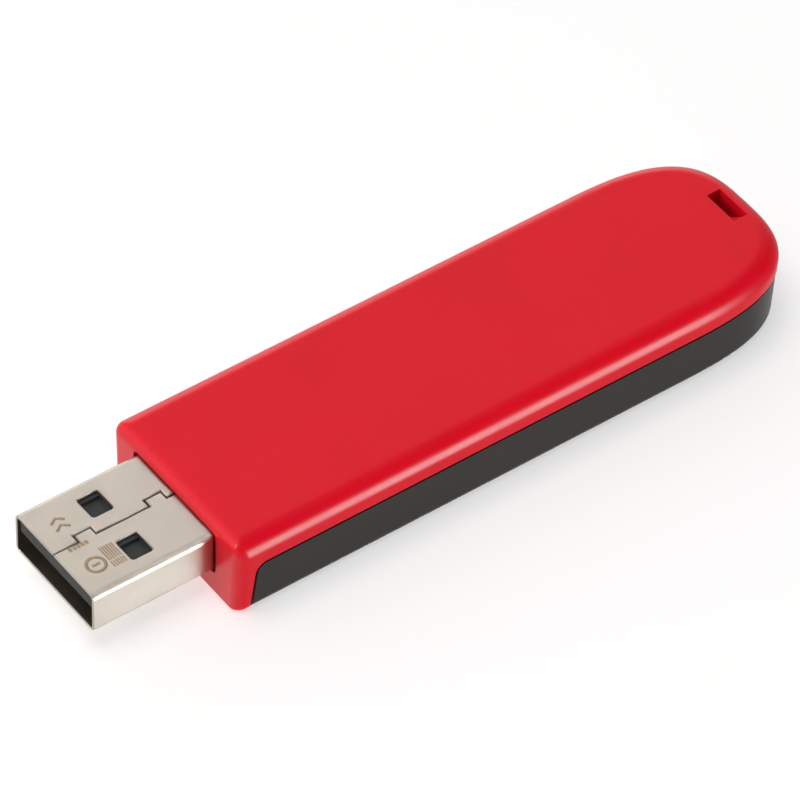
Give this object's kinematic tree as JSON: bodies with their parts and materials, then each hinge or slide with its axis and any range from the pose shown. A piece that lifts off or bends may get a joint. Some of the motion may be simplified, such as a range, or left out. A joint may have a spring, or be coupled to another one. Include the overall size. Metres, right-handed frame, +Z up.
{
  "type": "usb flash drive",
  "caption": "Slim two-shell USB flash drive with a rounded rear end, a lanyard slot and a fixed USB-A plug.",
  "frame": {"origin": "middle of the length and width of the drive, on the flat underside of the case", "axes": "+X towards the rounded rear end (the plug points to -X), +Y across the drive, +Z up through the red top cover"},
  "size_m": [0.0754, 0.0196, 0.0086],
  "materials": {
    "red_plastic": "satin moulded ABS, fine texture",
    "black_plastic": "semi-matt moulded ABS",
    "nickel_plated_steel": "satin nickel plate",
    "grey_nylon": "matt glass-filled nylon",
    "gold_plate": "flash gold on copper alloy",
    "board_green": "solder mask over glass-epoxy laminate",
    "chip_epoxy": "matt moulding compound",
    "crystal_steel": "plain lid metal",
    "ceramic_tan": "matt ceramic",
    "resistor_black": "matt overglaze"
  },
  "bodies": {
    "root": {"top_cover": "red_plastic", "bottom_cover": "black_plastic", "usb_plug_shell": "nickel_plated_steel", "plug_insulator": "grey_nylon", "vbus_contact": "gold_plate", "data_minus_contact": "gold_plate", "data_plus_contact": "gold_plate", "ground_contact": "gold_plate", "circuit_board": "board_green", "nand_flash_chip": "chip_epoxy", "controller_chip": "chip_epoxy", "voltage_regulator": "chip_epoxy", "crystal_oscillator": "crystal_steel", "capacitor_1": "ceramic_tan", "capacitor_2": "ceramic_tan", "capacitor_3": "ceramic_tan", "capacitor_4": "ceramic_tan", "capacitor_5": "ceramic_tan", "capacitor_6": "ceramic_tan", "resistor_1": "resistor_black", "resistor_2": "resistor_black", "resistor_3": "resistor_black", "resistor_4": "resistor_black", "resistor_5": "resistor_black"}
  },
  "joints": []
}
